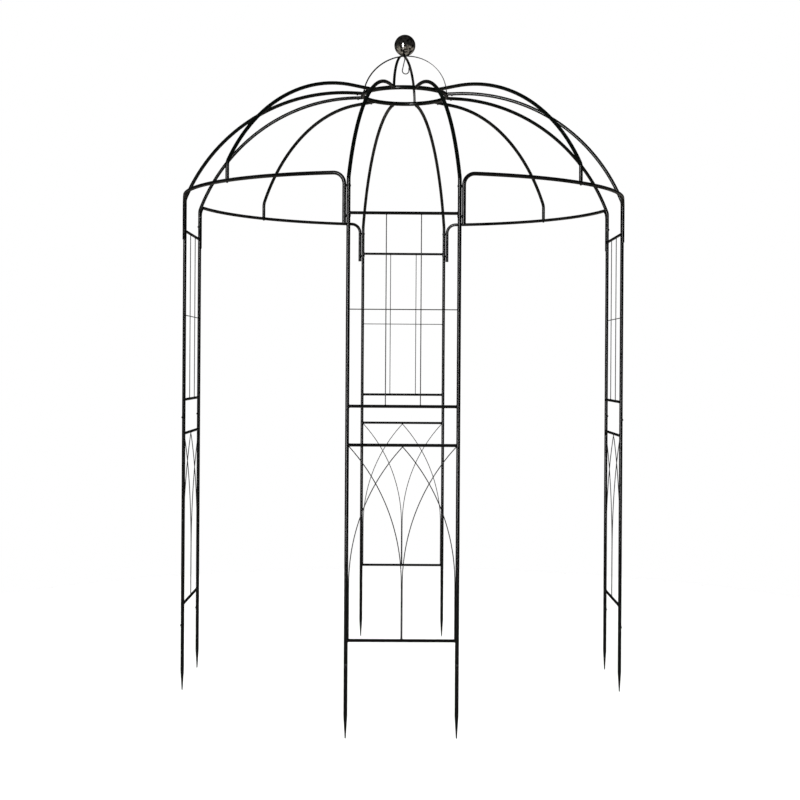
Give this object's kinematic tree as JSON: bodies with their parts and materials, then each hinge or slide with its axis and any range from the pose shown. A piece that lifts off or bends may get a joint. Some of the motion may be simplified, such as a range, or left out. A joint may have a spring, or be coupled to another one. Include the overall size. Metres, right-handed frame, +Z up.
{
  "type": "garden pavilion",
  "caption": "Domed garden pavilion of black steel tube with trellis ladders on ground spikes, arched doorways, dome ribs on a crown ring, hoops, a ball finial and a lantern hook.",
  "frame": {"origin": "on the pavilion's vertical axis, level with the tips of the ground spikes", "axes": "+Z up along the axis; the front ladder faces -Y, the right ladder +X, the rear ladder +Y and the left ladder -X"},
  "size_m": [2.0216, 2.0216, 3.0537],
  "materials": {
    "black_powder_coat": "satin black powder coat",
    "black_fasteners": "black zinc plating, semi-gloss",
    "dark_mirror_ball": "polished dark mirror",
    "black_washers": "matte black nylon"
  },
  "bodies": {
    "root": {"front_lower_frame": "black_powder_coat", "front_lower_lattice": "black_powder_coat", "front_upper_frame": "black_powder_coat", "front_upper_lattice": "black_powder_coat", "front_ground_spike_left": "black_powder_coat", "front_ground_spike_right": "black_powder_coat", "front_dome_rib_left": "black_powder_coat", "front_dome_rib_right": "black_powder_coat", "right_lower_frame": "black_powder_coat", "right_lower_lattice": "black_powder_coat", "right_upper_frame": "black_powder_coat", "right_upper_lattice": "black_powder_coat", "right_ground_spike_left": "black_powder_coat", "right_ground_spike_right": "black_powder_coat", "right_dome_rib_left": "black_powder_coat", "right_dome_rib_right": "black_powder_coat", "rear_lower_frame": "black_powder_coat", "rear_lower_lattice": "black_powder_coat", "rear_upper_frame": "black_powder_coat", "rear_upper_lattice": "black_powder_coat", "rear_ground_spike_left": "black_powder_coat", "rear_ground_spike_right": "black_powder_coat", "rear_dome_rib_left": "black_powder_coat", "rear_dome_rib_right": "black_powder_coat", "left_lower_frame": "black_powder_coat", "left_lower_lattice": "black_powder_coat", "left_upper_frame": "black_powder_coat", "left_upper_lattice": "black_powder_coat", "left_ground_spike_left": "black_powder_coat", "left_ground_spike_right": "black_powder_coat", "left_dome_rib_left": "black_powder_coat", "left_dome_rib_right": "black_powder_coat", "front_right_arch_bar": "black_powder_coat", "front_right_doorway_rib": "black_powder_coat", "rear_right_arch_bar": "black_powder_coat", "rear_right_doorway_rib": "black_powder_coat", "rear_left_arch_bar": "black_powder_coat", "rear_left_doorway_rib": "black_powder_coat", "front_left_arch_bar": "black_powder_coat", "front_left_doorway_rib": "black_powder_coat", "crown_ring": "black_powder_coat", "crown_ring_stubs": "black_powder_coat", "lower_hoop": "black_powder_coat", "upper_hoop": "black_powder_coat", "finial_ball": "dark_mirror_ball", "finial_boss": "black_fasteners", "lantern_hook": "black_fasteners", "lantern_hook_nut": "black_fasteners", "ground_spike_screws": "black_fasteners", "ladder_joint_screws": "black_fasteners", "rib_joint_screws": "black_fasteners", "arch_leg_bolts": "black_fasteners", "arch_leg_bushes": "black_fasteners", "doorway_rib_bolts": "black_fasteners", "doorway_rib_inserts": "black_fasteners", "crown_screws": "black_fasteners", "arch_leg_spacers": "black_washers"}
  },
  "joints": []
}
